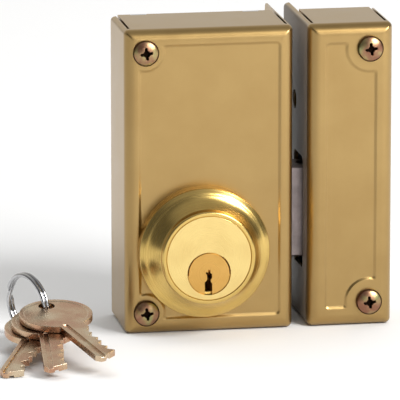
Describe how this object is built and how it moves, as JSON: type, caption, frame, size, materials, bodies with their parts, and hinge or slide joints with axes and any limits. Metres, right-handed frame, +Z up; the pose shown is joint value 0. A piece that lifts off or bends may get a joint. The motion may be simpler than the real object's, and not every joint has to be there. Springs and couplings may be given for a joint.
{
  "type": "rim deadbolt door lock",
  "caption": "Surface-mounted rim deadbolt: folded gold sheet-steel case with keyed cylinder and brass trim ring, sliding bolt, box strike, and keys on a split ring.",
  "frame": {"origin": "middle of the lock case's underside, half-way between its front face and the door", "axes": "+Z up along the case, +Y from the front face into the door, +X from the case towards the strike"},
  "size_m": [0.1388, 0.0997, 0.1025],
  "materials": {
    "satin_gold": "satin gold lacquer on steel",
    "zinc_steel": "zinc-plated sheet steel",
    "polished_brass": "polished and lacquered",
    "plug_brass": "fine turned",
    "hard_steel": "ground",
    "spring_steel": "bright",
    "bolt_steel": "dull nickel plate",
    "yellow_zinc": "yellow-passivated zinc",
    "ring_steel": "nickel plate",
    "key_metal": "copper-toned brass, tumbled"
  },
  "bodies": {
    "lock_case": {"case_shell": "satin_gold", "back_plate": "zinc_steel", "trim_ring": "polished_brass", "cylinder_housing": "polished_brass", "cylinder_nut": "zinc_steel", "driver_pins": "hard_steel", "pin_springs": "spring_steel", "spring_cover": "polished_brass", "pinion_bush": "plug_brass", "pinion_bracket": "zinc_steel", "bracket_rivets": "zinc_steel", "guide_stud": "zinc_steel", "detent_spring": "spring_steel", "detent_rivet": "zinc_steel", "case_spacers": "zinc_steel", "case_screws": "yellow_zinc", "strike_shell": "satin_gold", "strike_plate": "zinc_steel", "strike_spacers": "zinc_steel", "strike_screws": "yellow_zinc", "key_ring": "ring_steel"},
    "plug": {"cylinder_plug": "plug_brass", "key_pins": "plug_brass", "plug_clip": "spring_steel", "tailpiece": "hard_steel", "drive_pinion": "hard_steel"},
    "deadbolt": {"bolt_head": "bolt_steel", "bolt_rack": "bolt_steel", "bolt_rivets": "bolt_steel", "anti_saw_pins": "hard_steel"},
    "key_left": {"key_left": "key_metal"},
    "key_middle": {"key_middle": "key_metal"},
    "key_right": {"key_right": "key_metal"}
  },
  "joints": [
    {"name": "bolt_slide", "type": "slide", "parent": "lock_case", "child": "deadbolt", "axis": [-1, 0, 0], "range_m": [0, 0.02011], "deforming": ["detent_spring"]},
    {"name": "plug_turn", "type": "hinge", "parent": "lock_case", "child": "plug", "pos_m": [-0.00255, -0.028, 0.023], "axis": [0, -1, 0], "range_deg": [0, 360.5]},
    {"name": "key_left_swing", "type": "hinge", "parent": "lock_case", "child": "key_left", "pos_m": [-0.056, -0.023, 0.01005], "axis": [-0.0198, -0.1411, 0.9898], "range_deg": [-30, 14]},
    {"name": "key_middle_swing", "type": "hinge", "parent": "lock_case", "child": "key_middle", "pos_m": [-0.056, -0.023, 0.01005], "axis": [-0.0198, -0.1411, 0.9898], "range_deg": [-16, 18]},
    {"name": "key_right_swing", "type": "hinge", "parent": "lock_case", "child": "key_right", "pos_m": [-0.056, -0.023, 0.01005], "axis": [-0.0198, -0.1411, 0.9898], "range_deg": [-20, 24]}
  ],
  "couplings": [
    {"joint": "plug_turn", "follows": "bolt_slide", "rad_per_m": 312.5}
  ]
}
